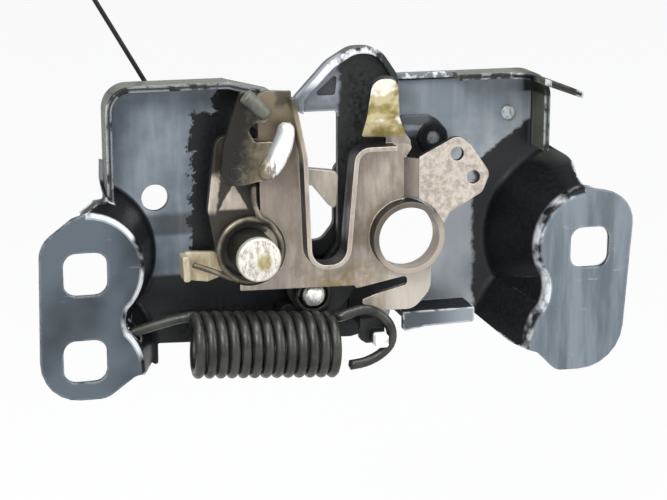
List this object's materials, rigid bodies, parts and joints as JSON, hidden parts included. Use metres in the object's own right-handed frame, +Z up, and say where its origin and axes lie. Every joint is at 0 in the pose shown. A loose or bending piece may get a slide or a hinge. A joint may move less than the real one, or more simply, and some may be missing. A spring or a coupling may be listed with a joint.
{
  "type": "bonnet latch",
  "caption": "Bonnet latch: pressed black tray with bolt-on ears, zinc guide plate with a flanged striker slot, sprung claw with release lever, safety hook and spring-loaded kicker",
  "frame": {"origin": "bottom of the striker slot on its centre line, in the front plane of the tray's web", "axes": "+X to the right seen from the front, +Y rearward, +Z up along the striker slot; rest pose as in the picture: claw across the slot, hook over it, kicker up"},
  "size_m": [0.1935, 0.0375, 0.1337],
  "materials": {
    "tray": "black electrocoat with worn bright edges",
    "zinc": "dull zinc plate with a yellowish passivation",
    "lever_zinc": "zinc plate darkened by grease",
    "pin": "bright turned steel",
    "black_lever": "satin black with worn bearing edges",
    "spring": "dark olive phosphated spring wire",
    "small_spring": "zinc plated spring wire",
    "spacer": "plain steel",
    "sleeve": "dark moulded bush",
    "anchor": "yellow passivated zinc",
    "cable": "black coated cable",
    "nipple": "dull cast zinc"
  },
  "bodies": {
    "base": {"base_plate": "tray", "guide_plate": "zinc", "claw_pin": "pin", "claw_spacer": "spacer", "spring_sleeve": "sleeve", "hook_rivet": "pin", "hook_spacer": "spacer", "hook_stop": "black_lever", "kicker_pin": "pin", "kicker_stop": "black_lever", "spring_anchor": "anchor", "anchor_rivet": "spacer", "web_rivet": "spacer", "cable_stop": "tray", "release_cable": "cable", "cable_eye": "spacer", "main_spring": "spring", "claw_spring": "small_spring", "hook_spring": "spring"},
    "claw": {"claw": "zinc", "release_lever": "lever_zinc", "lever_rivet_low": "zinc", "lever_rivet_high": "zinc", "cable_nipple": "nipple"},
    "hook": {"safety_hook": "black_lever"},
    "kicker": {"kicker": "black_lever"}
  },
  "joints": [
    {"name": "claw_hinge", "type": "hinge", "parent": "base", "child": "claw", "pos_m": [-0.0235, -0.0097, 0.004], "axis": [0, -1, 0], "range_deg": [0, 33], "stiffness_Nm_per_rad": 0.4, "springref_deg": -40.11, "deforming": ["claw_spring"]},
    {"name": "hook_hinge", "type": "hinge", "parent": "base", "child": "hook", "pos_m": [-0.0023, -0.0063, -0.0128], "axis": [0, 1, 0], "range_deg": [0, 12], "stiffness_Nm_per_rad": 0.15, "springref_deg": -45.84, "deforming": ["hook_spring"]},
    {"name": "kicker_hinge", "type": "hinge", "parent": "base", "child": "kicker", "pos_m": [0.0392, -0.0018, 0.0354], "axis": [0, -1, 0], "range_deg": [0, 6.5], "stiffness_Nm_per_rad": 12, "springref_deg": -14.32, "deforming": ["main_spring"]}
  ]
}
